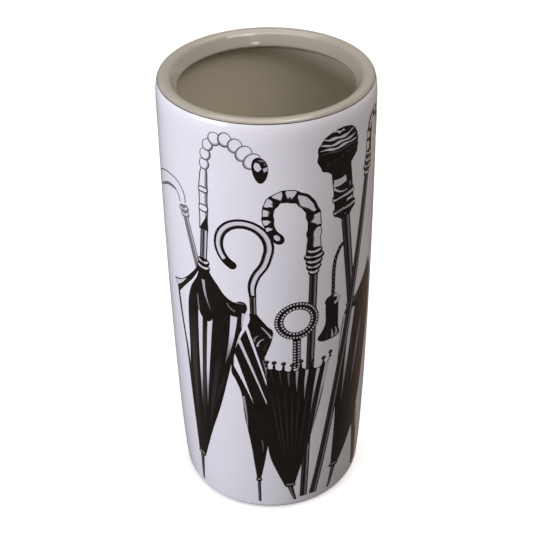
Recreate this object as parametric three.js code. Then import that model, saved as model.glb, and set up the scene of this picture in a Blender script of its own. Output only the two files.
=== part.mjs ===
// Glazed ceramic umbrella stand: a tall, slightly barrelled cylinder with a thick rim that turns inward.
// Units are millimetres and +Z is up. The origin is the centre of the foot ring's flat resting face.
// Every piece is turned about the Z axis. Pieces meet on flat horizontal faces, and the rim's spigot
// keeps a small gap to the wall's bore.

import * as THREE from "three";

// Overall sizes
const HEIGHT = 460.5;
const BELLY_RADIUS = 99.8;
const WALL_THICKNESS = 8;
const SEGMENTS = 72;
const GAP = 0.3;

// Foot and floor
const FOOT_HEIGHT = 6;
const FOOT_INNER_RADIUS = 71;
const FOOT_CHAMFER = 1.2;
const HEEL_RADIUS = 93.8;
const HEEL_ROUNDING = 9;
const FLOOR_TOP = 14;
const COVE_RADIUS = 7;

// Rim: a shoulder that squares off into the crest, an inward slope and a rounded lip
const SHOULDER_BASE = 433;
const SHOULDER_RADIUS = 98.7;
const SHOULDER_SQUARENESS = 3;
const CREST_RADIUS = 91.5;
const CREST_ROUNDING = 7.8;
const CREST_TURN = 153;
const LIP = { radius: 79.6, height: 447.8, rounding: 2 };
const BORE_RADIUS = 91;
const BORE_DEPTH = 60;
const LIP_UNDERSIDE = 441.5;
const UNDERSIDE_WIDTH = 4;

// Black line where the white wall ends
const LINE_BASE = 457.1;
const LINE_HEIGHT = 1;
const LINE_DEPTH = 1.4;

// Gentle swell of the wall from the heel to the shoulder, as [height, radius]
const SWELL = [
  [HEEL_ROUNDING, HEEL_RADIUS],
  [28, 95.2],
  [68, 96.9],
  [138, 98.5],
  [245, BELLY_RADIUS],
  [343, 99.6],
  [SHOULDER_BASE, SHOULDER_RADIUS],
];
const swellCurve = new THREE.SplineCurve(SWELL.map(([z, r]) => new THREE.Vector2(z, r)));
const swellPoints = swellCurve.getPoints(200);

// Outer radius of the stand at a height, from the top of the heel's rounding to the crest
function outerRadius(z) {
  if (z > SHOULDER_BASE) {
    const rise = (z - SHOULDER_BASE) / (HEIGHT - SHOULDER_BASE);
    const fall = Math.max(0, 1 - rise ** SHOULDER_SQUARENESS) ** (1 / SHOULDER_SQUARENESS);
    return CREST_RADIUS + (SHOULDER_RADIUS - CREST_RADIUS) * fall;
  }
  const next = Math.max(1, swellPoints.findIndex((point) => point.x >= z));
  const [low, high] = [swellPoints[next - 1], swellPoints[next]];
  return low.y + ((high.y - low.y) * (z - low.x)) / (high.x - low.x);
}

// Inner radius of the wall, one wall thickness inside its outer face and never wider than the bore
function innerRadius(z) {
  return Math.min(BORE_RADIUS, outerRadius(z) - WALL_THICKNESS);
}

// [radius, height] points up a face between two heights
function faceUp(radiusAt, zLow, zHigh, steps) {
  return Array.from({ length: steps + 1 }, (_, i) => {
    const z = zLow + ((zHigh - zLow) * i) / steps;
    return [radiusAt(z), z];
  });
}

// [radius, height] points from the line over to the crest, closer together as the face turns flat
function crestOver(lineTop, steps) {
  return Array.from({ length: steps + 1 }, (_, i) => {
    const z = lineTop + (HEIGHT - lineTop) * Math.sin((Math.PI / 2) * (i / steps));
    return [outerRadius(z), z];
  });
}

// [radius, height] points on a circular arc, angles in degrees from the outward direction
function arc(radius, height, rounding, fromAngle, toAngle, steps) {
  return Array.from({ length: steps + 1 }, (_, i) => {
    const angle = THREE.MathUtils.degToRad(fromAngle + ((toAngle - fromAngle) * i) / steps);
    return [radius + rounding * Math.cos(angle), height + rounding * Math.sin(angle)];
  });
}

// A closed ring or disc turned about Z; the outline runs anticlockwise with the radius to the right
function turned(outline) {
  const profile = outline.map(([radius, height]) => new THREE.Vector2(radius, height));
  const closed = outline[0][0] === 0 ? profile : [...profile, profile[0].clone()];
  const geometry = new THREE.LatheGeometry(closed, SEGMENTS);
  geometry.rotateX(Math.PI / 2);
  return geometry;
}

// Part of the heel's rounding, between two angles from the outward direction
function heelArc(fromAngle, toAngle, steps) {
  return arc(HEEL_RADIUS - HEEL_ROUNDING, HEEL_ROUNDING, HEEL_ROUNDING, fromAngle, toAngle, steps);
}
const heelSplit = THREE.MathUtils.radToDeg(Math.asin(FOOT_HEIGHT / HEEL_ROUNDING - 1));

// Foot ring: the unglazed ring that the stand rests on, rounded outside into the heel
function footRing() {
  return turned([
    [FOOT_INNER_RADIUS + FOOT_CHAMFER, 0],
    ...heelArc(-90, heelSplit, 5),
    [FOOT_INNER_RADIUS, FOOT_HEIGHT],
    [FOOT_INNER_RADIUS, FOOT_CHAMFER],
  ]);
}

// Floor slab: the closed bottom, carrying the wall on its rim
function floorSlab() {
  return turned([
    [0, FOOT_HEIGHT],
    ...heelArc(heelSplit, 0, 2),
    [outerRadius(FLOOR_TOP), FLOOR_TOP],
    [0, FLOOR_TOP],
  ]);
}

// Wall: the tall barrelled tube, coved into the floor inside and bored straight for the rim
function wall() {
  const coveTop = FLOOR_TOP + COVE_RADIUS;
  const coveCentre = innerRadius(coveTop) - COVE_RADIUS;
  return turned([
    ...faceUp(outerRadius, FLOOR_TOP, SHOULDER_BASE, 13),
    ...faceUp(outerRadius, SHOULDER_BASE, LINE_BASE, 5).slice(1),
    [BORE_RADIUS, LINE_BASE],
    ...faceUp(innerRadius, coveTop, LINE_BASE - BORE_DEPTH, 6).reverse(),
    ...arc(coveCentre, coveTop, COVE_RADIUS, 0, -90, 4).slice(1),
  ]);
}

// Rim collar: seats on the wall's top edge, rolls over the crest and slopes in to the lip,
// with a spigot below that drops into the wall's bore
function rimCollar() {
  const seatOuter = outerRadius(LINE_BASE) - LINE_DEPTH - GAP;
  const lineTop = LINE_BASE + LINE_HEIGHT;
  const spigot = BORE_RADIUS - GAP;
  return turned([
    [spigot, LIP_UNDERSIDE],
    [spigot, LINE_BASE],
    [seatOuter, LINE_BASE],
    [seatOuter, lineTop],
    ...crestOver(lineTop, 4),
    ...arc(CREST_RADIUS, HEIGHT - CREST_ROUNDING, CREST_ROUNDING, 90, CREST_TURN, 5).slice(1),
    ...arc(LIP.radius + LIP.rounding, LIP.height, LIP.rounding, CREST_TURN, 250, 4),
    [spigot - UNDERSIDE_WIDTH, LIP_UNDERSIDE],
  ]);
}

// Shoulder line: the fine black band in the notch between the wall and the rim
function shoulderLine() {
  const lineTop = LINE_BASE + LINE_HEIGHT;
  return turned([
    [outerRadius(LINE_BASE) - LINE_DEPTH, LINE_BASE],
    [outerRadius(LINE_BASE), LINE_BASE],
    [outerRadius(lineTop), lineTop],
    [outerRadius(LINE_BASE) - LINE_DEPTH, lineTop],
  ]);
}

const FINISHES = {
  whiteGlaze: { color: 0xe4e1ee, roughness: 0.12, metalness: 0 },
  greyGlaze: { color: 0xa79f90, roughness: 0.15, metalness: 0 },
  bareClay: { color: 0xcfc6b4, roughness: 0.9, metalness: 0 },
  blackEnamel: { color: 0x120f10, roughness: 0.2, metalness: 0 },
};

// The stand as a scene graph, one named mesh for each piece
function umbrellaStand() {
  const pieces = [
    ["foot_ring", footRing(), FINISHES.bareClay],
    ["floor_slab", floorSlab(), FINISHES.greyGlaze],
    ["body_wall", wall(), FINISHES.whiteGlaze],
    ["rim_collar", rimCollar(), FINISHES.greyGlaze],
    ["shoulder_line", shoulderLine(), FINISHES.blackEnamel],
  ];
  const stand = new THREE.Group();
  for (const [name, geometry, finish] of pieces) {
    const mesh = new THREE.Mesh(geometry, new THREE.MeshStandardMaterial(finish));
    mesh.name = name;
    stand.add(mesh);
  }
  return stand;
}

export default umbrellaStand();
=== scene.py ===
"""Looks of the ceramic umbrella stand: turned glazed pieces, the fired black print and the studio.

Everything is in metres in the frame's axes, except the print, which is drawn flat in millimetres and
then wrapped round the wall.
"""

import math

import bmesh
import bpy
import numpy as np
from mathutils import Matrix, Vector
from mathutils.geometry import delaunay_2d_cdt


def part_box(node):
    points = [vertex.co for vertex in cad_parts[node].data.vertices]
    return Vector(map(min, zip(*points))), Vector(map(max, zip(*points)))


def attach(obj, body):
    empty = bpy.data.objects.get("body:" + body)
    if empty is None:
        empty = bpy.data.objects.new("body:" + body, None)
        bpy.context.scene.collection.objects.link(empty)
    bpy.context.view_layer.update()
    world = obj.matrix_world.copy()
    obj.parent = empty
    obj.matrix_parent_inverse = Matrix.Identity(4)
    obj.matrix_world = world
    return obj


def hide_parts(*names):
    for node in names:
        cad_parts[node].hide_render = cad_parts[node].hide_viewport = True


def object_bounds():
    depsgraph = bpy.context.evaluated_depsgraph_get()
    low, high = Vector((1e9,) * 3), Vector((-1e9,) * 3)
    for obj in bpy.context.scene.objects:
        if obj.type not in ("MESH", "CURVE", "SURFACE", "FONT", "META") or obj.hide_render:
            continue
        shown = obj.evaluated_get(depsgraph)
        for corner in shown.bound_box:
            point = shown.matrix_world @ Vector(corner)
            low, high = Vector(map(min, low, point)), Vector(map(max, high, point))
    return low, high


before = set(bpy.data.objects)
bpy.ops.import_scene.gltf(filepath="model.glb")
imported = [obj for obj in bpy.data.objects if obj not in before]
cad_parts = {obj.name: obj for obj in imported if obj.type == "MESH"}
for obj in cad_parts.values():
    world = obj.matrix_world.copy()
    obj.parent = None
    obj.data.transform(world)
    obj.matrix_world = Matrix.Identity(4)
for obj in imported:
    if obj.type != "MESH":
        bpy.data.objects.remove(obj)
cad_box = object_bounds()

MM = 0.001
scene = bpy.context.scene

# ---- sizes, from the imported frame
HEIGHT = cad_box[1].z
BELLY_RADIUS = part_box("body_wall")[1].x
FOOT_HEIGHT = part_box("foot_ring")[1].z
FLOOR_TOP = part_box("floor_slab")[1].z
LINE_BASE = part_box("shoulder_line")[0].z
LINE_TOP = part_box("shoulder_line")[1].z
LINE_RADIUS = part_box("shoulder_line")[1].x
LIP_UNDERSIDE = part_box("rim_collar")[0].z

WALL_THICKNESS = 8 * MM
BORE_RADIUS = 91 * MM
FOOT_INNER_RADIUS = 71 * MM
FOOT_CHAMFER = 1.2 * MM
HEEL_ROUNDING = 9 * MM
GROUND_TURN = -72
COVE_RADIUS = 7 * MM
CREST_RADIUS = 91.5 * MM
CREST_ROUNDING = 7.8 * MM
CREST_TURN = 153
LIP_TURN = 255
LIP = (79.6 * MM, 447.8 * MM)
LIP_ROUNDING = 2 * MM
SHOULDER_SQUARENESS = 3
LINE_DEPTH = 1.4 * MM
LINE_TONE = 0.1
LINE_SHOWING = 0.62
SPIGOT_GAP = 0.1 * MM
UNDERSIDE_WIDTH = 4 * MM
SEGMENTS = 256
SAME_POINT = 1e-7

# The print stands this proud of the glaze, and the glaze lies as far inside the CAD surface.
PRINT_RISE = 0.12 * MM
PRINT_SINK = 0.1 * MM

# Swell of the wall: height, and how far inside the widest radius the surface lies
SWELL = [
    (height * MM, inset * MM)
    for height, inset in ((9, 6), (28, 4.6), (68, 2.9), (138, 1.3), (245, 0), (343, 0.2), (433, 1.1))
]
SHOULDER_BASE = SWELL[-1][0]
HEEL_RADIUS = BELLY_RADIUS - SWELL[0][1]
HEEL_CENTRE = (HEEL_RADIUS - HEEL_ROUNDING - PRINT_RISE, HEEL_ROUNDING)
HEEL_SEAM = math.degrees(math.asin(FOOT_HEIGHT / HEEL_ROUNDING - 1))
SHOULDER_RADIUS = BELLY_RADIUS - SWELL[-1][1]
MM_PER_DEGREE = BELLY_RADIUS / MM * math.pi / 180


# ---- drawing tools for the print
# A drawing is a list of outlines painted one over another, in millimetres: x runs round the wall to the
# right, y runs up it. INK is black, BARE is unprinted glaze, and the tones between them are grey ink.
INK = 0.0
BARE = 1.0
LINE = 1.3


def smooth(points, steps=8):
    """A smooth line through points, as an array, with steps points between each pair."""
    p = np.array(points, float)
    p = np.vstack([2 * p[0] - p[1], p, 2 * p[-1] - p[-2]])
    t = np.linspace(0, 1, steps, endpoint=False)[:, None]
    stretches = [
        0.5 * (2 * b + (c - a) * t + (2 * a - 5 * b + 4 * c - d) * t**2 + (3 * b - a - 3 * c + d) * t**3)
        for a, b, c, d in zip(p, p[1:], p[2:], p[3:])
    ]
    return np.vstack([*stretches, p[-2:-1]])


def joined(*curves):
    """One outline from smooth lines laid end to end, each given as (steps, *points)."""
    return np.vstack([smooth(points, steps) for steps, *points in curves])


def scaled(points, across, up, base=0):
    """Points as shares of a width and of a height, counted from base."""
    return np.array(points, float) * (across, up) + (0, base)


def beside(tip, *points):
    """Points as (share of the tip's distance from the axis, height above the tip)."""
    return [(tip[0] * share, tip[1] + rise) for share, rise in points]


def along(line, shares):
    """Points at the given shares of a line's length."""
    reach = np.concatenate([[0], np.cumsum(np.hypot(*np.diff(line, axis=0).T))])
    at = np.asarray(shares) * reach[-1]
    return np.column_stack([np.interp(at, reach, line[:, 0]), np.interp(at, reach, line[:, 1])])


def evenly(line, step):
    """The same line with points a step apart."""
    line = np.asarray(line, float)
    length = np.hypot(*np.diff(line, axis=0).T).sum()
    return along(line, np.linspace(0, 1, max(2, round(length / step) + 1)))


def strip(line, left, right):
    """The ribbon between two offsets to the right of a line, each a number or one number for each point."""
    way = np.gradient(line, axis=0)
    way /= np.hypot(*way.T)[:, None] + 1e-12
    side = np.column_stack([way[:, 1], -way[:, 0]])
    left, right = (np.broadcast_to(offset, len(line))[:, None] for offset in (left, right))
    return np.vstack([line + side * left, (line + side * right)[::-1]])


def turned_by(points, degrees):
    """Points turned anticlockwise about the origin."""
    c, s = math.cos(math.radians(degrees)), math.sin(math.radians(degrees))
    return np.asarray(points) @ np.array([[c, s], [-s, c]])


def ellipse(centre, across, up, turn=0, steps=28):
    """An ellipse with the given half-widths, turned in degrees."""
    a = np.linspace(0, 2 * math.pi, steps, endpoint=False)
    return turned_by(np.column_stack([across * np.cos(a), up * np.sin(a)]), turn) + centre


def bar(centre, half_width, half_height, turn=0):
    """A bar with rounded ends."""
    a = np.linspace(-math.pi / 2, math.pi / 2, 6)
    end = np.column_stack([half_width - half_height + half_height * np.cos(a), half_height * np.sin(a)])
    return turned_by(np.vstack([end, -end]), turn) + centre


def sliver(start, end, start_width, end_width=0.4, bow=0, steps=10, hold=1):
    """A gleam or fold that narrows from start to end, bowed sideways. A hold above 1 keeps it wide longer."""
    start = np.asarray(start, float)
    way = end - start
    side = np.array([way[1], -way[0]]) / np.hypot(*way)
    t = np.linspace(0, 1, steps)
    line = start + way * t[:, None] + side * (bow * np.sin(math.pi * t))[:, None]
    half = (start_width + (end_width - start_width) * t**hold) / 2
    return strip(line, -half, half)


def nearness(points, high, low):
    """How near points are to height high: 1 at high, 0 at low."""
    return np.clip((points[:, 1] - low) / (high - low), 0, 1)


def fading(high, low, top_tone, bottom_tone):
    """A tone that goes from top_tone at height high to bottom_tone at height low."""
    return lambda points: bottom_tone + (top_tone - bottom_tone) * nearness(points, high, low)


def swelling(high, low, tone):
    """A tone that rises from ink at height high and sinks back to ink at height low."""
    return lambda points: tone * np.sin(math.pi * nearness(points, high, low))


class Drawing:
    """One printed umbrella or stick, drawn upright from its foot at (0, 0), then leaned and placed."""

    def __init__(self, name, foot_degrees, foot_height, lean):
        self.name = name
        self.foot = np.array([foot_degrees * MM_PER_DEGREE, foot_height])
        self.lean = lean
        self.outlines = []
        self.palest_ink = INK

    def paint(self, outline, tone=INK):
        placed = turned_by(outline, -self.lean) + self.foot
        self.outlines.append((placed, tone if callable(tone) else max(tone, self.palest_ink)))

    def local(self, points):
        """Points of the wall in this drawing's upright frame."""
        return turned_by(points - self.foot, self.lean)


def shaft(d, low, high, width, gleam=0.5):
    """A round stick between two heights: dark, with a faint gleam on the left and a brighter one right."""
    line = evenly([(0, low), (0, high)], 12)
    for left, right, tone in (
        (-1, 1, 0), (-0.74, 0.3 * gleam - 0.55, 0.45), (0.3 - 0.3 * gleam, 0.76, 0.55), (0.34, 0.64, 1.05)
    ):
        d.paint(strip(line, left * width / 2, right * width / 2), gleam * tone)


def collar(d, low, widths, ring_height):
    """A stack of rounded dark rings from a height upwards, each with a bowed pale gleam."""
    for i, width in enumerate(widths):
        centre = np.array([0, low + ring_height * (i + 0.5)])
        d.paint(bar(centre, width / 2, ring_height * 0.66))
        bow = scaled([(-1, 1), (-0.4, -0.5), (0.4, -0.5), (1, 1)], width / 2 - LINE, ring_height * 0.24)
        gleam = smooth(bow, 4)
        u = np.linspace(-1, 1, len(gleam))
        dip = 0.75 if i % 2 else 0.25
        swell = ring_height * 0.19 * (1 - u**4) * (1 - dip * np.exp(-((u + 0.15) / 0.3) ** 2)) + 0.15
        d.paint(strip(gleam, -swell, swell) + centre, 0.95)


def ferrule(d, cloth_foot, width, shift=0):
    """The ring below the cloth and the tapered metal tip below it."""
    spike = evenly([(0, 0), (shift, cloth_foot - 2)], 8)
    half = np.linspace(1.5, width * 0.25, len(spike))
    d.paint(strip(spike, -half, half), 0.05)
    d.paint(strip(spike, -half * 0.55, half * 0.05), 0.38)
    d.paint(bar((shift, cloth_foot), width / 2, 3.4, -5))
    d.paint(bar((shift, cloth_foot + 0.4), width / 2 - 1.6, 1, -5), 0.6)


def beaded_crook(d, line, stem_share, beads, width):
    """A cane root handle: a jointed stem, then a curve of beads that grow towards a dark faceted end."""
    line = evenly(line, 2)
    half = width / 2
    stem = along(line, np.linspace(0, stem_share, 16))
    waist = half * (0.9 + 0.1 * np.abs(np.cos(np.linspace(0, 3 * math.pi, 16))))
    waist[-3:] *= (0.95, 0.85, 0.65)
    for left, right, tone in (
        (-waist, waist, 0.25), (1 - waist, waist - 1.2, BARE), (waist * 0.34, waist - 1.2, 0.62)
    ):
        d.paint(strip(stem, left, right), tone)
    d.paint(strip(stem[:5], np.linspace(-waist[0], waist[0] * 0.8, 5), waist[:5]), 0.06)
    for share, tall in ((0.36, 4.2), (0.66, 3.2)):
        joint = along(line, [stem_share * share])[0]
        d.paint(bar(joint, half + 0.5, tall), 0.2)
        d.paint(bar(joint - (0.3, 0), half - 0.6, tall - 1.3), BARE)
    shares = np.linspace(stem_share, 1, beads + 1)
    centres = along(line, (shares[1:] + shares[:-1]) / 2)
    ways = np.diff(along(line, shares), axis=0)
    for i, (centre, way) in enumerate(zip(centres, ways)):
        u = i / (beads - 1)
        turn = math.degrees(math.atan2(*way[::-1]))
        reach = np.hypot(*way) * (0.62 + 0.07 * u)
        side = half * (1.06 + 0.76 * u**1.5 + 0.07 * math.sin(i * 2.3))
        rim = 0.08 if i == beads // 2 else 0.3
        for shift, grow, tone in ((0, 0, rim), (0.4, 1, 0.74), (1.2, 1.6, BARE)):
            bead = ellipse((0.2 * shift, shift * 0.7), reach - grow * 0.8, side - grow, 0, 24)
            d.paint(turned_by(bead, turn) + centre, tone)
    # the end: an upright nut with its point down, cut into pale facets round its crown
    end = line[-1] + (half * 0.75, -half * 0.95)
    nut = ellipse((0, 0), half * 1.4, half * 2.5, 10, 26)
    nut[:, 0] *= 1 + 0.2 * nut[:, 1] / (half * 2.5)
    d.paint(nut + end)
    for facet, tone in (
        ([(-1.15, 0.75), (-0.9, 1.5), (-0.25, 1.35), (0.25, 0.35), (-0.3, -0.25), (-0.85, 0.05)], 0.97),
        ([(0.45, 0.5), (1.25, 0.85), (1.28, 0.1), (0.7, -0.25)], 0.8),
        ([(-0.6, 1.9), (0.3, 2.15), (1.00, 1.45), (0.5, 1.75), (0.00, 1.7)], 0.45),
        ([(0.62, 1.05), (1.15, 1.15), (0.95, 1.45), (0.5, 1.6)], 0.3),
    ):
        d.paint(scaled(facet, half, half) + end, tone)


def knobbly_crook(d, line, width, outside):
    """A knotted root handle: pale facets along the outside of the bend and dark hollows inside it.
    outside is 1 when the bend turns left along the line, -1 when it turns right."""
    line = evenly(line, 1.2)
    t = np.linspace(0, 1, len(line))
    lumps = 1 + 0.06 * np.sin(t * 47) + 0.04 * np.sin(t * 83 + 1)
    half = width / 2 * lumps * np.interp(t, [0, 0.35, 0.7, 1], [1.08, 1, 0.86, 0.62])
    d.paint(strip(line, -half, half))
    knots = np.cumsum([0.01, 0.2, 0.11, 0.2, 0.08, 0.075, 0.075, 0.07, 0.06, 0.05])
    for i, (start, end) in enumerate(zip(knots[:-1] + 0.006, knots[1:] - 0.006)):
        part = (t >= start) & (t <= end)
        u = (t[part] - start) / (end - start)
        belly = np.sin(np.pi * np.clip(u, 0.04, 0.96)) ** 0.45
        outer = half[part] - (3 if i == 2 else 0.9)
        depth = half[part] * (1.1 + 0.24 * np.cos(u * math.tau * (1 + i % 2) + i))
        edge, middle = outside * outer, outside * (outer - depth * belly)
        cut = middle - outside * 1.3 * belly
        for sides, tone in (((middle, edge), 0.97), ((cut, middle), 0.3)):
            d.paint(strip(line[part], *sides[::outside]), tone)
    end, way = line[-1], line[-1] - line[-4]
    turn = math.degrees(math.atan2(*way[::-1]))
    d.paint(ellipse(end, half[-1] * 1.6, half[-1] * 1.2, turn, 20))
    d.paint(ellipse(end + (-0.8, 0.8), half[-1] * 0.8, half[-1] * 0.55, turn, 14), 0.95)


def round_hook(d, neck, centre, radius, width):
    """A bent rod: most of a circle that ends in a dark cap, swung back into the shaft below."""
    a = np.radians(np.linspace(-118, -372, 50))
    ring = np.column_stack([radius * np.cos(a), radius * 1.04 * np.sin(a)]) + centre
    swing = (centre[0] + radius * 0.8, centre[1] - radius * 0.8)
    bend = smooth([*ring[-2:], swing, (3.5, neck + 24), (-0.3, neck + 12), (0, neck)], 8)
    line = evenly(np.vstack([ring[:-2], bend]), 2.2)
    half = width / 2 * np.interp(np.linspace(0, 1, len(line)), [0, 0.55, 0.9, 1], [1, 1.08, 0.96, 0.72])
    d.paint(strip(line, -half, half))
    for left, right, tone in ((0.4, 0.4, 0.45), (0.5, 0.26, 0.97)):
        d.paint(strip(line[1:-1], -half[1:-1] * left, half[1:-1] * right), tone)
    d.paint(strip(line[:5], -half[:5], half[:5]))
    d.paint(ellipse(line[0], half[0], half[0], 0, 18))


def rope_ring(d, centre, outer, inner):
    """A ring of braided cord: a dark band with a row of pale strands along either edge."""
    d.paint(ellipse(centre, outer, outer, 0, 72))
    for radius, strands, slant in ((outer - 1.9, 40, 24), (inner + 1.9, 28, -24)):
        for i in range(strands):
            strand = turned_by(ellipse((0, 0), 1, 0.62 * math.pi * radius / strands, steps=10), slant)
            d.paint(turned_by(strand + (radius, 0), 360 * i / strands) + centre, 0.92)
    d.paint(ellipse(centre, inner, inner, 0, 60), BARE)


def twisted_stem(d, low, high, width):
    """A braided stem: a dark band with two rows of pale slanting strands."""
    half = width / 2
    d.paint(strip(evenly([(0, low), (0, high)], 6), -half, half))
    for y in np.arange(low + 2, high - 1, 3.4):
        for side in (-1, 1):
            d.paint(ellipse((side * half * 0.52, y), 1.35, 0.85, side * 38, 10), 0.9)


def pommel(d, base, width, height):
    """A knob carved as wound cloth: pale sagging bands over the crown and a dark hollowed underside."""
    half = width / 2
    flank = [(-0.5, -2 / height), (-0.66, 0.03), (-0.9, 0.15), (-1, 0.42), (-0.95, 0.66), (-0.72, 0.87),
             (-0.34, 0.97), (0, 1)]
    left = smooth(scaled(flank, half, height, base), 6)
    lumps = 0.03 * np.sin(np.linspace(0, 34, len(left)))[:, None]
    right = left * (-1, 1) + np.abs(lumps) * (-half, 0)
    d.paint(np.vstack([left * (1 + lumps * (1, 0)), right[-2::-1]]))
    t = np.linspace(-1, 1, 25)
    for share, reach, thick, sag in (
        (0.46, 0.92, 0.9, 1.2), (0.545, 0.9, 1.9, 1.6), (0.66, 0.88, 2, 2.4), (0.795, 0.76, 2.3, 3.6),
        (0.93, 0.3, 1.6, 1.4),
    ):
        y = base + height * share - 2.4 * t + sag * (t**2 - 0.4) + 0.6 * np.sin(t * 6 + share * 11)
        swell = thick * (1 - t**2) ** 0.6 * (0.76 + 0.24 * np.cos(t * 9 + share * 20))
        band = np.column_stack([t * half * reach, y])
        d.paint(strip(band, -swell, swell * 0.5), 0.95 if thick > 1 else 0.3)
    for u in (-0.6, -0.3, 0.05, 0.4):
        d.paint(ellipse((half * u, base + height * (0.26 + 0.08 * u)), half * 0.13, 1.2, 15, 14), 0.16)


def turned_neck(d, low, width):
    """The turned piece under a knob: a funnel, two rings with a waist between them, and a plain neck."""
    half = width / 2

    def place(*points):
        """Points as (share of the half-width, height above low)."""
        return scaled(points, half, 1, low)

    d.paint(place((-0.38, 0), (0.38, 0), (0.94, 8), (-0.94, 8)))
    d.paint(sliver(*place((-0.1, 4), (0.6, 5.4)), 2.8, 0.5, -1), 0.85)
    d.paint(bar((0, low + 15.5), half * 0.86, 12))
    d.paint(place((0.02, 11.5), (0.74, 12), (0.72, 20), (0.34, 20), (0.2, 16)), 0.95)
    for y, share, thick in ((9.5, 1, 1), (23.5, 0.96, 1.7)):
        d.paint(bar((0, low + y), half * share, 5.8, -3))
        bow = place((-share * 0.92, y - 0.4), (-0.3, y + 0.3), (0.3, y - 0.4), (share * 0.93, y - 0.2))
        ring = smooth(bow, 6)
        d.paint(strip(ring, -thick, np.linspace(0.8, 1.4, len(ring)) * thick), 0.95)
        d.paint(sliver(*place((-0.72, y), (0.74, y - 0.6)), 0.9, 0.6, -0.5), 0.35)
    d.paint(strip(evenly(place((0, 24), (0, 56)), 6), -half * 0.8, half * 0.82))
    gleam = smooth(place((-0.72, 40), (-0.2, 38.4), (0.3, 39)), 6)
    d.paint(strip(gleam, -3.6, np.linspace(3.4, 4.6, len(gleam)) * np.linspace(1, 0.55, len(gleam))), 0.97)
    d.paint(sliver(*place((-0.74, 35), (0.34, 27)), 2.4, 0.6, 2.2), 0.9)
    d.paint(ellipse((half * 0.6, low + 31), 1.1, 2.8, 0, 14), 0.45)


def bent_handle(d, low, reach, rise, width):
    """A plain derby handle: the shaft curves over into a rounded grip that reaches to the left."""
    curve = [(0, 0), (0, 0.45), (-6 / reach, 0.86), (-0.42, 1), (-0.78, 0.78), (-1, 0.52)]
    line = smooth(scaled(curve, reach, rise, low))
    t = np.linspace(0, 1, len(line))
    half = width / 2 * np.interp(t, [0, 0.45, 0.75, 1], [0.72, 1, 1.15, 0.8])
    d.paint(strip(line, -half, half))
    d.paint(ellipse(line[-1], half[-1], half[-1], 0, 20))
    d.paint(strip(line, -half + LINE, half - LINE), BARE)
    d.paint(ellipse(line[-1], half[-1] - LINE, half[-1] - LINE, 0, 18), BARE)
    shade = (t > 0.25) & (t < 0.9)
    u = np.sin(np.pi * (t[shade] - 0.25) / 0.65)
    under = LINE * 0.5 - half[shade]
    d.paint(strip(line[shade], under, under + 2.6 * u), 0.3)


def tassel(d, start, cap, length, width):
    """A cord that hangs from the stick, with a capped tassel whose skirt flares at the foot."""
    cap = np.array(cap, float)
    drop = start[1] - cap[1]
    sagging = (start[0] * 0.6 + cap[0] * 0.4, start[1] - drop * 0.05)
    cord = evenly(smooth([start, sagging, (cap[0] + 1, start[1] - drop * 0.34), cap], 10), 2.4)
    d.paint(strip(cord, -2.1, 2.1))
    for low, high in zip(cord[1:-1:2], cord[2::2]):
        d.paint(sliver(low + (-0.9, 0.6), high + (0.9, -0.3), 0.8, 0.6, 0, 3), 0.45)
    half = width / 2
    skirt = [(-0.6, 0), (-0.68, -0.2), (-0.66, -0.56), (-0.95, -0.74), (-1.36, -0.9), (-0.95, -1),
             (-0.2, -1.02), (0.62, -1), (0.8, -0.92), (0.62, -0.76), (0.6, -0.3), (0.6, 0)]
    d.paint(smooth(scaled(skirt, half, length), 6) + cap)
    d.paint(ellipse(cap + (0, -3.2), half * 0.74, 6.6, 0, 28))
    crescent = smooth(scaled([(0.1, 1), (0.5, -0.6), (0.48, -5.6), (0.16, -7.6)], half, 1), 6)
    d.paint(strip(crescent + cap, -1.7, 1.2), 0.95)
    for u, reach, thick, tone in (
        (0.02, 0.2, 3, 0.85), (0.42, 0.22, 3.8, 0.9), (0.42, 0.17, 1.6, 0.35), (-0.5, 0.2, 3, 0.16)
    ):
        foot = cap + (half * u, -length * 0.985)
        d.paint(sliver(foot, foot + (-half * 0.1, length * reach), thick, 0.6, 0.8), tone)


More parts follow.
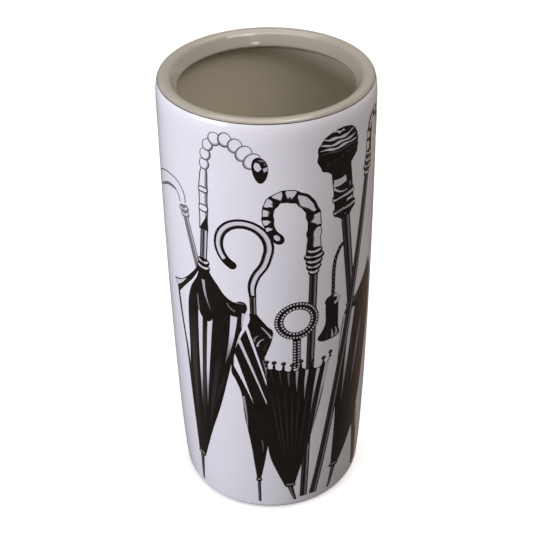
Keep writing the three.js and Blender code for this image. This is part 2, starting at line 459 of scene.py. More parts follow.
def mantled_cloth(d, neck, foot, left, right):
    """A loosely furled umbrella: the cloth gathers at a neck, spreads to two drooping rib tips and folds
    down to the ferrule. left and right are the rib tips."""
    ly, ry = left[1], right[1]
    drop = ry - foot
    left_edge = beside(left, (0.87, -8), (0.77, -30), (0.64, -55), (0.52, -80), (0.4, -119), (0.24, -169))
    right_edge = beside(right, (0.36, -0.78 * drop), (0.58, -0.57 * drop), (0.84, -0.2 * drop), (0.93, -27))
    lip = beside(right, (0.95, -12), (1, -3), (0.95, 3), (0.84, 4), (0.72, 1.5), (0.52, 6), (0.36, 14.5))
    d.paint(joined(
        (7, (-6, neck), (-11, neck - 9), *beside(left, (0.54, 13), (0.78, 4.5), (1, 0))),
        (6, *left_edge, (-5, foot)),
        (6, (6, foot), *right_edge, *lip, (10, neck - 6), (5, neck + 1)),
    ))
    # the lit panel on the left under a dark shoulder, and the gleam that widens along that shoulder
    d.paint(joined(
        (6, (-6, neck - 7), (-12, neck - 19), *beside(left, (0.46, 8), (0.78, -11))),
        (6, *beside(left, (0.7, -30), (0.575, -55), (0.46, -77), (0.4, -96))),
        (6, *beside(left, (0.39, -70), (0.43, -34), (0.43, -10), (0.34, 8)), (-8, neck - 16), (-6, neck - 9)),
    ), BARE)
    d.paint(beside(left, (0.5, 12.5), (0.78, 3), (0.96, -0.8), (0.87, -6), (0.68, 2)), 0.94)
    # long folds: pale below the lobe, running out in the dark towards the ferrule
    for x, high, low_x, low in ((-2.2, 15, 2.4, 140), (9.6, 17, 9, 138)):
        tone = fading(ly - low * 0.62, ly - low, BARE, 0.1)
        d.paint(sliver((x, ly - high), (low_x, ly - low), 5.4, 0.6, 0.6, 14, 1.6), tone)
    for x, high, low_x, low, width, tone in (
        (3.8, 18, 5.6, 170, 4.6, 0.22), (-12, 16, -3.6, 190, 10, 0.2), (22, 50, 13, 170, 7, 0.13),
        (31, 74, 17, 135, 3, 0.1),
    ):
        fold = sliver((x, ly - high), (low_x, ly - low), width, 1.5, 0.6, 14)
        d.paint(fold, swelling(ly - high, ly - low, tone))
    # the lobe of cloth that hangs over the folds at the middle, with a soft gleam down each side
    hem = scaled([(-8.5, 18), (-6.5, -4), (-2.5, -17), (4.4, -23), (12, -18), (17, 4)], 1, 1, ly)
    d.paint(smooth([(-6, neck - 12), *hem, (12, neck - 24)], 7))
    d.paint(sliver((-5.8, ly + 4), (-3.4, ly - 14), 1.2, 1.8, 0.6), 0.5)
    d.paint(sliver((0.3, neck - 14), (9.6, ly - 7), 3.6, 0.9, 1.6), fading(neck - 30, ly - 8, 0.75, 0.25))
    # the right shoulder: a curled lip with a lit edge, and the narrow panel beneath it
    for ends, shape, tone in (
        (((0.74, -15), (0.61, -76)), (6.6, 0.6, -1.6, 12, 1.4), fading(ry - 40, ry - 76, BARE, 0.2)),
        (((0.57, -1.5), (0.76, -9)), (1.2, 2.2, 1.2), 0.38),
        (((0.76, 1.2), (0.92, 1.6)), (1, 0.5, -0.4), 0.5),
        (((0.94, -9), (0.925, -27)), (3.4, 0.6, 0.3), 0.92),
    ):
        d.paint(sliver(*beside(right, *ends), *shape), tone)
    ferrule(d, foot, 12)


def slanting_cloth(d, neck, foot, left, right):
    """A furled umbrella whose cloth is wound aslant: long pale folds run down from left to right."""
    (lx, ly), (rx, ry) = left, right
    drop = ry - foot
    left_edge = beside(left, (0.76, 28), (1, 0), (0.8, -14), (0.6, -30), (0.5, -60), (0.28, -98))
    low_right = beside(right, (0.5, -0.8 * drop), (0.8, -0.55 * drop), (0.55, -38), (0.62, -28))
    high_right = beside(right, (0.92, -12), (1, 0), (0.72, 6), (0.32, 16))
    d.paint(joined(
        (7, (-4, neck + 10), (-3.5, neck + 3), (-7, neck - 7), *left_edge, (-2, foot)),
        (7, (2, foot), *low_right, *high_right, (3.2, neck + 10)),
    ))
    d.paint(joined(
        (5, *beside(left, (0.86, 15), (0.8, 20), (0.64, 8))),
        (5, (-2, ly - 42), *beside(left, (0.52, -14), (0.88, 5))),
    ), BARE)
    for start, end, width, tone in (
        ((lx * 0.66, ly + 42), (rx * 0.84, ly - 54), 3.6, 0.95),
        ((lx * 0.44, ly + 68), (rx * 1.05, ly - 48), 3.6, BARE),
        ((rx * 0.46, ly + 16), (rx * 0.62, ly - 16), 1.6, 0.4),
        ((lx * 0.54, ly - 32), (lx * 0.4, ly - 76), 3.2, 0.62),
        ((4.4, ly - 90), (4.8, ly - 106), 2, 0.3),
    ):
        d.paint(sliver(start, end, width, 0.5, -0.8), tone)
    for x, y, turn, length, tone in ((4.5, 15, 30, 9, 0.5), (9, 19, 34, 11, 0.8), (12.5, 24, 16, 10, 0.14)):
        stroke = sliver((0, 0), (0, -length), 0.6, 2.2, 1.6, 7)
        d.paint(turned_by(stroke, -turn) + (x, neck - y), tone)
    d.paint(sliver((rx * 0.4, ry + 5), (rx - 1.4, ry - 8), 1, 2.2, -0.6), 0.72)
    ferrule(d, foot, 7)


def scalloped_cloth(d, hem, foot, rib_tips, shift=0):
    """A furled umbrella seen from below its hem: ribs with ball tips, the cloth sagging between them."""
    tips = np.array(rib_tips, float)
    (lx, ly), (rx, ry) = tips[0], tips[-1]
    height = hem - foot
    edge = []
    for a, b in zip(tips, tips[1:]):
        sag = (0, 0.26 * abs(b[0] - a[0]) + 1)
        edge.append(smooth([a, a * 0.72 + b * 0.28 - sag, a * 0.28 + b * 0.72 - sag, b], 5)[:-1])
    left = [(lx * 0.62 + shift * 0.3, 0.13), (lx * 0.95, 0.29), (lx * 1.02, 0.5)]
    right = [(rx * 0.72, 0.68), (rx * 0.36, 0.34), (rx * 0.16, 0.17), (shift + 5, 0)]
    left_side = smooth([(shift - 6, foot), *scaled(left, 1, height, foot), (lx, ly)], 7)
    right_side = smooth([(rx, ry), *scaled(right, 1, height, foot)], 7)
    d.paint(np.vstack([left_side, *edge, tips[-1:], right_side]))
    # a lit valley beside each rib, short on the left and longer and brighter towards the right
    for i, (a, b) in enumerate(zip(tips, tips[1:])):
        share = i / (len(tips) - 2)
        top = a * 0.4 + b * 0.6 - (0, 0.26 * abs(b[0] - a[0]) + 2.6)
        deep = hem - height * (0.14 + 0.44 * share**3)
        low = (top[0] * (0.12 + 0.88 * (deep - foot) / height), deep)
        tone = np.interp(share, [0, 0.3, 0.55, 0.8, 1], [0.12, 0.3, 0.85, 0.95, 0.95])
        d.paint(sliver(top, low, 1.4 + 2.8 * share, 0.4, 0.4), fading(top[1] - 15, deep, tone, tone * 0.45))
        low = (a[0] * 0.3 + shift * 0.5, foot + 30)
        d.paint(sliver((a[0] * 0.9, hem - 20), low, 3, 1, 0.4), swelling(hem - 20, low[1], 0.12))
    d.paint(sliver((rx - 1.8, ry - 5), (rx * 0.8, foot + height * 0.76), 1.6, 0.5, 0.4), 0.9)
    for tip in tips:
        d.paint(sliver(tip - (0, 1.5), tip + (0.3, 3.2), 3, 1.6))
        d.paint(ellipse(tip + (0.3, 5), 2.5, 2.3, 8, 16))
        d.paint(ellipse(tip + (-0.2, 5.6), 0.8, 0.6, 8, 10), 0.35)
    ferrule(d, foot, 12, shift)


def swept_cloth(d, neck, foot, shoulder, hem):
    """A half furled umbrella seen from the side: close on the left, swept out to one high shoulder."""
    (sx, sy), (hx, hy) = shoulder, hem
    ring = 4
    near_side = [(-9.5, neck * 0.82), (-8, neck * 0.58), (-4, neck * 0.42)]
    far_side = [(hx * 0.62, foot + (hy - foot) * 0.38), hem, (sx * 1.32, sy * 0.72), (sx * 1.24, sy * 0.92)]
    d.paint(joined(
        (7, (-4, neck - 3), (-8, neck - 14), *near_side, (ring - 5, foot)),
        (8, (ring + 6, foot), *far_side, shoulder),
        (6, (sx * 0.7, neck + (sy - neck) * 0.6), (sx * 0.3, neck + 6), (3, neck + 1)),
    ))
    d.paint(strip(smooth([(-5.5, neck - 10), (-7.2, neck * 0.82), (-5.6, neck * 0.58)], 6), -0.9, 1.6), 0.85)
    tone = fading(neck * 0.75, neck * 0.48, BARE, 0.2)
    d.paint(sliver((6.5, neck - 8), (3, neck * 0.48), 6.4, 0.6, 0.8, 12, 1.5), tone)
    d.paint(sliver((4, neck - 1), (sx * 0.4, neck + 4), 2.6, 0.6, 1), 0.5)
    for start, end, width, tone in (
        ((sx * 0.78, neck - 14), (sx * 0.46, neck * 0.5), 6, 0.55),
        ((sx * 0.36, neck - 6), (sx * 0.26, neck * 0.36), 4, 0.16),
        ((sx * 1, sy - 18), (sx * 0.74, neck * 0.4), 6, 0.16),
    ):
        d.paint(sliver(start, end, width, 1, 1), swelling(start[1], end[1], tone))
    ferrule(d, foot, 14, ring)


# ---- the nine figures of the print
def bamboo_crook_umbrella(d):
    shaft(d, 298, 342, 8, 0.9)
    stem = [(-0.6, 336), (-1.9, 361), (-3, 382), (-2.8, 399), (-1.6, 416)]
    crook = [(2, 427), (10, 432.5), (20, 431.5), (30, 425.5), (44, 414)]
    beaded_crook(d, smooth(stem + crook, 10), 0.445, 8, 10)
    mantled_cloth(d, 294, 44, (-43, 256), (46, 266))
    collar(d, 292, (15.5, 14), 6)


def round_hook_umbrella(d):
    shaft(d, 240, 275, 6.2)
    round_hook(d, 272, (-7.5, 326), 23, 9)
    slanting_cloth(d, 243, 35, (-24, 182), (17.6, 233))


def rope_ring_umbrella(d):
    twisted_stem(d, 185, 222, 8)
    rope_ring(d, (0.4, 242.5), 21.5, 13)
    tips = [(-29, 191), (-22, 190), (-13, 188), (-4.5, 185), (4, 188), (15, 185), (28, 184), (36, 188)]
    scalloped_cloth(d, 187, 25, tips, -6)


def knotted_crook_stick(d):
    shaft(d, 0, 296, 8.4)
    rise = [(-0.5, 312), (-0.8, 330), (-1, 346), (-5, 360), (-14, 370)]
    crook = [(-25, 374), (-35, 372.5), (-42, 364), (-43, 352), (-40, 340), (-34, 332)]
    knobbly_crook(d, smooth(rise + crook, 10), 13.5, 1)
    collar(d, 289, (11.5, 15.5, 17, 20.5, 16.5), 5.6)


def tall_crook_stick(d):
    shaft(d, 0, 372, 9)
    crook = [(0, 388), (-1.5, 398), (-3, 410), (-1, 421), (6, 427.5), (16, 426), (24, 417), (28, 405)]
    knobbly_crook(d, smooth(crook, 10), 11, -1)
    collar(d, 370, (13, 17, 16, 13), 6)


def banded_knob_stick(d):
    shaft(d, 0, 342, 11)
    turned_neck(d, 340, 29)
    pommel(d, 393, 47, 38)


def cord_tassel(d):
    tassel(d, (12, 325), (0, 270), 48, 24)


def wide_umbrella(d):
    swept_cloth(d, 240, 33, (35, 275), (36, 97))
    collar(d, 237, (11,), 7)


def derby_stick(d):
    d.palest_ink = 0.46
    shaft(d, 0, 76, 7, 0.85)
    bent_handle(d, 88, 54, 19, 13)
    collar(d, 74, (12, 14), 5.5)


# Furthest back first: figure, degrees round the wall and height of its foot, and its lean in degrees.
FRONT = (
    (derby_stick, -37, 280, -14.5), (round_hook_umbrella, -8.5, 12, -0.2),
    (knotted_crook_stick, 19.3, 15, 1.36), (banded_knob_stick, 65.5, 15, -6.6),
    (wide_umbrella, 37.5, 12, 4.6), (tall_crook_stick, 25.8, 15, 9.8), (cord_tassel, 35.4, 0, 0),
    (bamboo_crook_umbrella, -51.5, 12, 4.95), (rope_ring_umbrella, 14, 12, 0),
)
BACK = (
    (tall_crook_stick, 92, 15, 6), (rope_ring_umbrella, 100, 12, 0), (knotted_crook_stick, 150, 15, 3),
    (derby_stick, 138, 250, -8), (wide_umbrella, 131, 12, 4), (round_hook_umbrella, 214, 12, -1),
    (banded_knob_stick, 252, 15, -4), (wide_umbrella, 236, 12, 2.5), (cord_tassel, 229.5, 0, 0),
    (bamboo_crook_umbrella, 190, 12, -5),
)


def all_drawings():
    """Every drawing round the wall, furthest back first."""
    drawings = []
    for side, figures in (("front", FRONT), ("back", BACK)):
        for i, (figure, degrees, height, lean) in enumerate(figures, 1):
            drawing = Drawing(f"print_{side}_{i}_{figure.__name__}", degrees, height, lean)
            figure(drawing)
            drawings.append(drawing)
    return drawings


# ---- the turned ceramic pieces
SWELL_LINE = smooth([(z, BELLY_RADIUS - inset) for z, inset in SWELL], 24)


def outer_radius(z):
    """Radius of the glazed outside at heights from the floor to the crest."""
    swell = np.interp(z, SWELL_LINE[:, 0], SWELL_LINE[:, 1])
    rise = np.clip((z - SHOULDER_BASE) / (HEIGHT - SHOULDER_BASE), 0, 1)
    fall = (1 - rise**SHOULDER_SQUARENESS) ** (1 / SHOULDER_SQUARENESS)
    shoulder = CREST_RADIUS + (SHOULDER_RADIUS - CREST_RADIUS) * fall
    drop = np.clip(HEEL_ROUNDING - z, 0, HEEL_ROUNDING)
    heel = HEEL_RADIUS - HEEL_ROUNDING + np.sqrt(HEEL_ROUNDING**2 - drop**2)
    surface = np.where(z > SHOULDER_BASE, shoulder, np.where(z < HEEL_ROUNDING, heel, swell))
    return np.minimum(surface, BELLY_RADIUS) - PRINT_RISE


def inner_radius(z):
    return np.minimum(BORE_RADIUS, outer_radius(z) - WALL_THICKNESS)


def face(radius_at, low, high, steps):
    """[radius, height] points up a face."""
    z = np.linspace(low, high, steps + 1)
    return np.column_stack([radius_at(z), z])


def arc(centre, radius, start, end, steps):
    """[radius, height] points on an arc, angles in degrees from the outward direction."""
    a = np.radians(np.linspace(start, end, steps + 1))
    return np.column_stack([centre[0] + radius * np.cos(a), centre[1] + radius * np.sin(a)])


def turned(name, stretches):
    """A turned piece. stretches are (material, [radius, height] points) that run round its section
    anticlockwise; a section that touches the axis is closed there."""
    points, owners, materials = [], [], []
    for material, stretch in stretches:
        if material not in materials:
            materials.append(material)
        for point in np.atleast_2d(stretch):
            if points and np.allclose(points[-1], point, atol=SAME_POINT):
                owners.pop()
            else:
                points.append(point)
            owners.append(materials.index(material))
    if np.allclose(points[0], points[-1], atol=SAME_POINT):
        points.pop()
        owners.pop()
    mesh = bmesh.new()
    angles = np.linspace(0, 2 * math.pi, SEGMENTS, endpoint=False)
    rings = []
    for radius, height in points:
        if radius < SAME_POINT:
            rings.append([mesh.verts.new((0, 0, height))] * SEGMENTS)
            continue
        ring = [(radius * math.cos(a), radius * math.sin(a), height) for a in angles]
        rings.append([mesh.verts.new(place) for place in ring])
    for i, owner in enumerate(owners):
        low, high = rings[i], rings[(i + 1) % len(rings)]
        if low[0] is low[1] and high[0] is high[1]:
            continue
        for j in range(SEGMENTS):
            k = (j + 1) % SEGMENTS
            corners = list(dict.fromkeys([low[j], low[k], high[k], high[j]]))
            made = mesh.faces.new(corners)
            made.material_index = owner
            made.smooth = True
    piece = added(name, mesh_from(name, mesh, materials))
    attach(piece, "root")
    piece.data.set_sharp_from_angle(angle=math.radians(38))
    return piece


def mesh_from(name, mesh, materials):
    """A bmesh as mesh data with its materials."""
    data = bpy.data.meshes.new(name)
    mesh.to_mesh(data)
    mesh.free()
    for material in materials:
        data.materials.append(material)
    return data


def added(name, data):
    """A new object in the scene."""
    item = bpy.data.objects.new(name, data)
    scene.collection.objects.link(item)
    return item


def set_tones(data, tones):
    """Stores the ink's tone at each corner of a mesh."""
    attribute = data.attributes.new("tone", "FLOAT", "CORNER")
    attribute.data.foreach_set("value", np.asarray(tones, np.float32))


def foot_ring(white, clay):
    """The ring that the stand rests on: glazed outside and in the recess, ground bare underneath."""
    return turned("foot_ring_ground", [
        (clay, [(FOOT_INNER_RADIUS + FOOT_CHAMFER, 0)]),
        (clay, arc(HEEL_CENTRE, HEEL_ROUNDING, -90, GROUND_TURN, 3)),
        (white, arc(HEEL_CENTRE, HEEL_ROUNDING, GROUND_TURN, HEEL_SEAM, 8)),
        (white, [(FOOT_INNER_RADIUS, FOOT_HEIGHT)]),
        (clay, [(FOOT_INNER_RADIUS, FOOT_CHAMFER), (FOOT_INNER_RADIUS + FOOT_CHAMFER, 0)]),
    ])


def floor_slab(white, grey):
    """The closed bottom: white at the heel and underneath, grey glaze inside."""
    rings = np.linspace(0, 1, 12)[:, None]
    seam = arc(HEEL_CENTRE, HEEL_ROUNDING, HEEL_SEAM, HEEL_SEAM, 0)[0]
    under = rings * seam + (1 - rings) * (0, FOOT_HEIGHT)
    top_edge = np.array([outer_radius(FLOOR_TOP), FLOOR_TOP])
    over = (1 - rings) * top_edge + rings * (0, FLOOR_TOP)
    return turned("floor_slab_glazed", [
        (white, under),
        (white, arc(HEEL_CENTRE, HEEL_ROUNDING, HEEL_SEAM, 0, 4)),
        (white, face(outer_radius, HEEL_ROUNDING, FLOOR_TOP, 2)),
        (grey, over),
    ])


def body_wall(white, grey):
    """The tall barrelled wall: white outside, grey inside, coved into the floor."""
    cove_top = FLOOR_TOP + COVE_RADIUS
    cove_centre = (inner_radius(cove_top) - COVE_RADIUS, cove_top)
    return turned("body_wall_glazed", [
        (white, face(outer_radius, FLOOR_TOP, SHOULDER_BASE, 100)),
        (white, face(outer_radius, SHOULDER_BASE, LINE_BASE, 14)),
        (grey, [(BORE_RADIUS, LINE_BASE)]),
        (grey, face(inner_radius, cove_top, LINE_BASE, 60)[::-1]),
        (grey, arc(cove_centre, COVE_RADIUS, 0, -90, 8)),
        (grey, [(outer_radius(FLOOR_TOP), FLOOR_TOP)]),
    ])


def rim_collar(grey):
    """The rolled rim: over the crest, down the inward slope, round the lip and back to the bore."""
    seat = LINE_RADIUS - LINE_DEPTH - PRINT_RISE
    spigot = BORE_RADIUS - SPIGOT_GAP
    heights = LINE_TOP + (HEIGHT - LINE_TOP) * np.sin(np.radians(np.linspace(0, 90, 12)))
    return turned("rim_collar_glazed", [
        (grey, [(spigot, LIP_UNDERSIDE), (spigot, LINE_BASE), (seat, LINE_BASE), (seat, LINE_TOP)]),
        (grey, np.column_stack([outer_radius(heights), heights])),
        (grey, arc((CREST_RADIUS - PRINT_RISE, HEIGHT - CREST_ROUNDING), CREST_ROUNDING, 90, CREST_TURN, 12)),
        (grey, arc((LIP[0] + LIP_ROUNDING, LIP[1]), LIP_ROUNDING, CREST_TURN, LIP_TURN, 10)),
        (grey, [(spigot - UNDERSIDE_WIDTH, LIP_UNDERSIDE)]),
    ])


def shoulder_line(enamel, grey):
    """The fine black band that closes the white glaze below the rim; the rim's glaze overlaps its top."""
    inner = LINE_RADIUS - LINE_DEPTH - PRINT_RISE
    overlap_from = LINE_BASE + LINE_SHOWING * (LINE_TOP - LINE_BASE)
    line = turned("shoulder_line_enamel", [
        (enamel, [(inner, LINE_BASE)]),
        (enamel, face(outer_radius, LINE_BASE, overlap_from, 2) + (PRINT_RISE, 0)),
        (grey, face(outer_radius, overlap_from, LINE_TOP, 2) + (PRINT_RISE, 0)),
        (grey, [(inner, LINE_TOP)]),
    ])
    set_tones(line.data, np.full(len(line.data.loops), LINE_TONE))
    return line


# ---- materials
CLEAR_GLAZE = {"IOR": 1.52, "Specular IOR Level": 0.5}


class Nodes:
    """A node tree under construction. Inputs are {socket's name or place: value or another's output}."""

    def __init__(self, owner):
        owner.use_nodes = True
        self.nodes, self.links = owner.node_tree.nodes, owner.node_tree.links

    def put(self, node, inputs):
        for socket, value in inputs.items():
            if isinstance(value, bpy.types.NodeSocket):
                self.links.new(value, node.inputs[socket])
            else:
                node.inputs[socket].default_value = value
        return node

    def add(self, kind, inputs):
        return self.put(self.nodes.new(kind), inputs)

    def ramp(self, value, *stops):
        """A colour ramp; stops are (position, colour)."""
        node = self.add("ShaderNodeValToRGB", {"Fac": value})
        elements = node.color_ramp.elements
        while len(elements) < len(stops):
            elements.new(0.5)
        for element, (position, colour) in zip(elements, stops):
            element.position, element.color = position, (*colour, 1)
        return node.outputs["Color"]

    def range(self, value, low, high, to_low=0, to_high=1):
        limits = {"From Min": low, "From Max": high, "To Min": to_low, "To Max": to_high}
        return self.add("ShaderNodeMapRange", {"Value": value, **limits}).outputs["Result"]

    def mix(self, factor, a, b):
        """Mixes two colours; the sockets are counted, because names repeat on this node."""
        node = self.nodes.new("ShaderNodeMix")
        node.data_type = "RGBA"
        return self.put(node, {0: factor, 6: a, 7: b}).outputs[2]


class Shader(Nodes):
    """A material's nodes, all in object coordinates (metres)."""

    def __init__(self, name):
        self.material = bpy.data.materials.new(name)
        super().__init__(self.material)
        self.place = self.nodes.new("ShaderNodeTexCoord").outputs["Object"]

    def noise(self, scale, detail=3, roughness=0.5, place=None):
        inputs = {"Vector": place or self.place, "Scale": scale, "Detail": detail, "Roughness": roughness}
        return self.add("ShaderNodeTexNoise", inputs).outputs["Fac"]

    def waves(self):
        """The slight waviness of the fired wall, as a bump."""
        tall = self.add("ShaderNodeMapping", {"Vector": self.place, "Scale": (1, 1, 0.55)})
        return self.noise(22, 2, 0.45, tall.outputs["Vector"]), 0.9 * MM

    def finish(self, inputs, *bumps):
        """Sets the surface and stacks bumps on it, each a (height value, depth in metres)."""
        surface = self.put(self.nodes["Principled BSDF"], inputs)
        below = {}
        for height, depth in bumps:
            bump = self.add("ShaderNodeBump", {"Distance": depth, "Strength": 1, "Height": height, **below})
            below = {"Normal": bump.outputs["Normal"]}
        self.put(surface, below)
        return self.material


def glaze(name, deep, light, speck, roughness):
    """Fired glaze: slow colour drift, rare iron specks, an uneven gloss and a slightly wavy surface."""
    shader = Shader(name)
    drift = shader.ramp(shader.noise(9, 2), (0.3, deep), (0.7, light))
    specks = shader.range(shader.noise(620, 1), 0.76, 0.8)
    return shader.finish({
        **CLEAR_GLAZE,
        "Base Color": shader.mix(specks, drift, (*speck, 1)),
        "Roughness": shader.range(shader.noise(34, 4), 0.3, 0.7, roughness * 0.75, roughness * 1.35),
    }, shader.waves(), (shader.noise(240, 2), 0.012 * MM))


def bare_clay():
    """Unglazed biscuit: chalky, grainy and stained where it was ground."""
    shader = Shader("bare_clay")
    stain = shader.ramp(shader.noise(60, 5, 0.65), (0.3, (0.5, 0.44, 0.35)), (0.7, (0.68, 0.63, 0.54)))
    grain = shader.noise(1500, 2)
    return shader.finish({
        "Specular IOR Level": 0.25,
        "Base Color": shader.mix(shader.range(grain, 0.35, 0.65, 0, 0.35), stain, (0.36, 0.31, 0.24, 1)),
        "Roughness": shader.range(grain, 0.3, 0.7, 0.82, 0.98),
    }, (grain, 0.12 * MM))


def black_enamel():
    """Fired black print under a gloss: dense black, greyer where the drawing's tone thins the ink."""
    shader = Shader("black_enamel")
    attribute = shader.nodes.new("ShaderNodeAttribute")
    attribute.attribute_name = "tone"
    tone = attribute.outputs["Fac"]
    cloud = shader.noise(70, 4, 0.6)
    dense = shader.ramp(cloud, (0.3, (0.005, 0.003, 0.0026)), (0.7, (0.012, 0.008, 0.006)))
    thin = shader.ramp(
        tone,
        (0, (0.007, 0.005, 0.0045)),
        (0.2, (0.038, 0.03, 0.028)),
        (0.6, (0.28, 0.265, 0.29)),
        (1, (0.7, 0.685, 0.74)),
    )
    return shader.finish({
        **CLEAR_GLAZE,
        "Base Color": shader.mix(shader.range(tone, 0, 0.05), dense, thin),
        "Roughness": shader.range(shader.noise(90, 4), 0.3, 0.7, 0.1, 0.19),
    }, shader.waves())


def studio_floor():
    """Pale paper that glows a little, so that it stays white in the picture."""
    shader = Shader("studio_floor")
    return shader.finish({
        "Specular IOR Level": 0.2,
        "Base Color": shader.ramp(shader.noise(3), (0.3, (0.91, 0.91, 0.915)), (0.7, (0.94, 0.94, 0.94))),
        "Roughness": 0.75,
        "Emission Color": (1, 1, 1, 1),
        "Emission Strength": 0.3,
    })


# ---- printing on the wall
GRID_ACROSS = 4
GRID_UP = 16
GRID_MARGIN = 1
SAME_CORNER = 1e-4


def inside(points, outline):
    """Which points lie inside an outline, counting windings, so that a folded outline stays whole."""
    x, y = points[:, 0][:, None], points[:, 1][:, None]
    a, b = outline, np.roll(outline, -1, axis=0)
    side = (b[:, 0] - a[:, 0]) * (y - a[:, 1]) - (x - a[:, 0]) * (b[:, 1] - a[:, 1])
    up = (a[:, 1] <= y) & (b[:, 1] > y) & (side > 0)
    down = (a[:, 1] > y) & (b[:, 1] <= y) & (side < 0)
    return up.sum(1) != down.sum(1)


def grid(low, high, step):
    """Multiples of a step, from just below low to just above high."""
    return np.arange(math.floor(low / step), math.ceil(high / step) + 1) * step


def inked_triangles(drawing, in_front):
    """Cuts a drawing into flat triangles along every outline and keeps those that end up inked.
    in_front are the outlines of the drawings painted over this one, which hide it."""
    own = [outline for outline, _ in drawing.outlines]
    low, high = np.vstack(own).min(0), np.vstack(own).max(0)
    masks = [outline for outline in in_front if np.all((outline.min(0) < high) & (low < outline.max(0)))]
    verts, edges = [], []

    def add_line(points, closed=True):
        start = len(verts)
        verts.extend(map(Vector, points))
        count = len(points)
        edges.extend((start + i, start + (i + 1) % count) for i in range(count if closed else count - 1))

    for outline in own + masks:
        add_line(outline.tolist())
    left, bottom = low - GRID_MARGIN
    right, top = high + GRID_MARGIN
    for x in grid(low[0], high[0], GRID_ACROSS):
        add_line([(x, bottom), (x, top)], closed=False)
    for y in grid(low[1], high[1], GRID_UP):
        add_line([(left, y), (right, y)], closed=False)
    points, _, faces, *_ = delaunay_2d_cdt(verts, edges, [], 0, SAME_CORNER, False)
    points = np.array([tuple(p) for p in points])
    faces = np.array([f for f in faces if len(f) == 3])
    centres = points[faces].mean(1)
    owner = np.full(len(faces), -1)
    for index, outline in [*enumerate(own), *((-1, mask) for mask in masks)]:
        near = np.flatnonzero(np.all((centres >= outline.min(0)) & (centres <= outline.max(0)), axis=1))
        owner[near[inside(centres[near], outline)]] = index
    bare = np.array([not callable(t) and t >= BARE for _, t in drawing.outlines] + [True])
    keep = ~bare[owner]
    return points, faces[keep], owner[keep]


def corner_tones(drawing, points, faces, owner):
    """The ink's tone at each corner of each triangle."""
    tones = np.zeros((len(faces), 3))
    for index, (_, tone) in enumerate(drawing.outlines):
        mine = owner == index
        if callable(tone):
            at = drawing.local(points[faces[mine]].reshape(-1, 2))
            tones[mine] = np.asarray(tone(at)).reshape(-1, 3)
        else:
            tones[mine] = tone
    return tones


def on_wall(points, lift):
    """Flat drawing points wrapped round the wall, lift metres off the glaze."""
    angle = np.radians(points[:, 0] / MM_PER_DEGREE)
    height = points[:, 1] * MM
    radius = outer_radius(height) + lift
    return np.column_stack([radius * np.sin(angle), -radius * np.cos(angle), height])


def printed(drawing, in_front, enamel):
    """The drawing as a thin closed skin of enamel on the wall."""
    points, faces, owner = inked_triangles(drawing, in_front)
    tones = corner_tones(drawing, points, faces, owner)
    used, faces = np.unique(faces, return_inverse=True)
    faces = faces.reshape(-1, 3)
    points = points[used]
    count = len(points)
    spans = np.vstack([faces[:, [0, 1]], faces[:, [1, 2]], faces[:, [2, 0]]])
    seen = {(a, b) for a, b in spans.tolist()}
    rim = [(a, b) for a, b in spans.tolist() if (b, a) not in seen]
    walls = [(a, a + count, b + count, b) for a, b in rim]
    verts = np.vstack([on_wall(points, PRINT_RISE), on_wall(points, -PRINT_SINK)])
    data = bpy.data.meshes.new(drawing.name)
    data.from_pydata(verts.tolist(), [], faces.tolist() + (faces[:, ::-1] + count).tolist() + walls)
    corners = np.concatenate([tones.ravel(), tones[:, ::-1].ravel(), np.zeros(4 * len(walls))])
    set_tones(data, corners)
    data.polygons.foreach_set("use_smooth", np.ones(len(data.polygons), bool))
    data.set_sharp_from_angle(angle=math.radians(30))
    data.materials.append(enamel)
    piece = added(drawing.name, data)
    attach(piece, "root")


# ---- studio and camera
CAMERA_ELEVATION = math.radians(35.47)
CAMERA_ROLL = math.radians(-1.06)
CAMERA_DISTANCE = 1.087
CAMERA_LENS = 73.92
AIM = Vector((-2.75 * MM, 0, 0.538 * HEIGHT))
SWEEP_RADIUS = 3.6
CARD = (1, 0.98, 0.97)

# What doesn't see it, name, place, the share of the stand's height that it faces, size, power and colour.
# The cards light nothing: they are the window, small lamp and skylight that the gloss reflects.
LAMPS = (
    ("glossy", "window", (-1.83, -1.22, 0.6), 1.5, (1.4, 0.7), 44.5, (0.915, 0.9, 1)),
    ("diffuse", "window_pane", (-1.74, -1.16, 0.6), 1.5, (1.3, 0.7), 13, CARD),
    ("diffuse", "lamp", (0.24, -1, 1.13), 1, (0.2, 0.02), 0.2, CARD),
    ("diffuse", "skylight", (-0.5, -1.1, 2.4), 1, (3, 0.9), 30, CARD),
    ("nothing", "fill", (0.7, -0.85, 1.9), 1, (0.8, 0.8), 12.5, (1, 0.915, 0.875)),
    ("nothing", "overhead", (0.1, 0.2, 2.6), 1, (2.4, 2.4), 36, (1, 0.96, 0.89)),
    ("glossy", "back", (1.3, 2.2, 1.1), 0.6, (1.6, 1.2), 13, (1, 0.95, 0.9)),
)


def camera():
    """A tripod view from the front and above, with the slight roll of a hand-held picture."""
    data = bpy.data.cameras.new("camera")
    data.lens = CAMERA_LENS
    data.clip_start, data.clip_end = 0.02, 50
    item = added("camera", data)
    tilt = Matrix.Rotation(math.pi / 2 - CAMERA_ELEVATION, 4, "X")
    roll = Matrix.Rotation(CAMERA_ROLL, 4, "Z")
    item.matrix_world = Matrix.Translation(AIM) @ tilt @ roll @ Matrix.Translation((0, 0, CAMERA_DISTANCE))
    scene.camera = item


def softbox(name, place, aim, size, power, colour):
    """A flat lamp that faces the stand's axis at a share of the stand's height."""
    data = bpy.data.lights.new(name, "AREA")
    data.shape = "RECTANGLE"
    data.size, data.size_y = size
    data.energy = power
    data.color = colour
    item = added(name, data)
    item.location = place
    way = Vector((0, 0, aim * HEIGHT)) - Vector(place)
    item.rotation_euler = way.to_track_quat("-Z", "Y").to_euler()
    return item


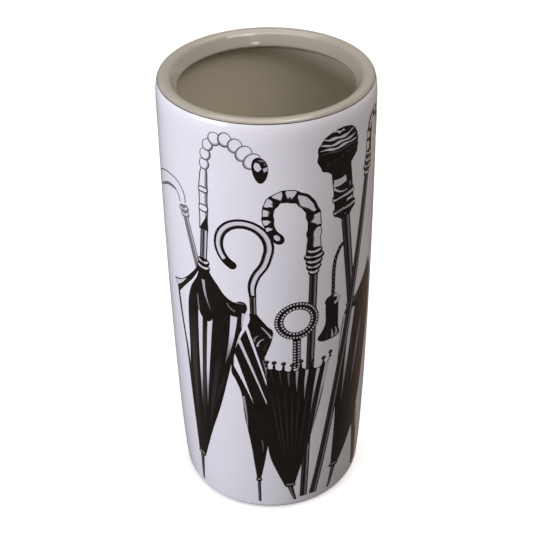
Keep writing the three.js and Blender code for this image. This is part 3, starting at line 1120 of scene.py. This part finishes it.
def sky():
    """What gloss reflects: a dim room, brightest overhead, and a brown patch of floor behind on the right."""
    world = bpy.data.worlds.new("sky")
    tree = Nodes(world)
    direction = tree.nodes.new("ShaderNodeTexCoord").outputs["Generated"]
    height = tree.add("ShaderNodeSeparateXYZ", {"Vector": direction}).outputs["Z"]
    near = tree.add("ShaderNodeVectorMath", {0: direction, 1: (0.36, 0.73, -0.58)})
    near.operation = "DOT_PRODUCT"
    room = tree.ramp(height, (0, (0.1, 0.094, 0.084)), (0.7, (0.3, 0.3, 0.31)))
    patch = tree.ramp(near.outputs["Value"], (0.72, (0, 0, 0)), (0.93, (0.07, 0.03, 0.005)))
    total = tree.add("ShaderNodeVectorMath", {0: room, 1: patch})
    tree.put(tree.nodes["Background"], {"Color": total.outputs["Vector"]})
    return world


def studio_surface(name, profile, material):
    """A surface of revolution round the stand that only the camera sees."""
    mesh = bmesh.new()
    line = [mesh.verts.new((r, 0, z)) for r, z in profile]
    edges = [mesh.edges.new(pair) for pair in zip(line, line[1:])]
    bmesh.ops.spin(mesh, geom=line + edges, axis=(0, 0, 1), angle=math.tau, steps=96, use_merge=True)
    bmesh.ops.remove_doubles(mesh, verts=mesh.verts, dist=MM)
    bmesh.ops.recalc_face_normals(mesh, faces=mesh.faces)
    data = mesh_from(name, mesh, [material])
    data.shade_smooth()
    item = added(name, data)
    item.visible_glossy = item.visible_diffuse = False
    return item


def studio():
    """A pale sweep of floor and wall, a large cool window on the left, warm fills and a dim sky."""
    pale = studio_floor()
    studio_surface("floor", [(0, 0), (SWEEP_RADIUS, 0)], pale)
    bend = [(SWEEP_RADIUS + math.sin(a), 1 - math.cos(a)) for a in np.linspace(0, math.pi / 2, 12)]
    backdrop = studio_surface("backdrop", [*bend, (SWEEP_RADIUS + 1, 5)], pale)
    backdrop.visible_shadow = False
    for unseen, *lamp in LAMPS:
        item = softbox(*lamp)
        item.visible_glossy = unseen != "glossy"
        item.visible_diffuse = unseen != "diffuse"
    scene.world = sky()
    scene.view_settings.view_transform = "Standard"


def stand():
    """The five glazed pieces that stand for the CAD nodes, and the print over them."""
    white = glaze("white_glaze", (0.79, 0.78, 0.83), (0.83, 0.82, 0.87), (0.55, 0.5, 0.47), 0.07)
    grey = glaze("grey_glaze", (0.336, 0.309, 0.267), (0.374, 0.347, 0.301), (0.18, 0.14, 0.1), 0.075)
    # The inside's grey glaze is a lighter copy of the rim's: painted light, standing in for light that
    # reaches down inside the stand.
    grey_painted_lighter = glaze("grey_glaze_painted_lighter", (0.535, 0.497, 0.392), (0.592, 0.55, 0.44), (0.2, 0.16, 0.11), 0.2)
    enamel = black_enamel()
    clay = bare_clay()
    for piece, node, slot in (
        (foot_ring(white, clay), "foot_ring", "bare_clay"),
        (floor_slab(white, grey_painted_lighter), "floor_slab", "grey_glaze"),
        (body_wall(white, grey_painted_lighter), "body_wall", "white_glaze"),
        (rim_collar(grey), "rim_collar", "grey_glaze"),
        (shoulder_line(enamel, grey), "shoulder_line", "black_enamel"),
    ):
        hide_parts(node)
    drawings = all_drawings()
    for i, drawing in enumerate(drawings):
        in_front = [outline for other in drawings[i + 1:] for outline, _ in other.outlines]
        printed(drawing, in_front, enamel)


camera()
studio()
stand()
bpy.context.view_layer.update()
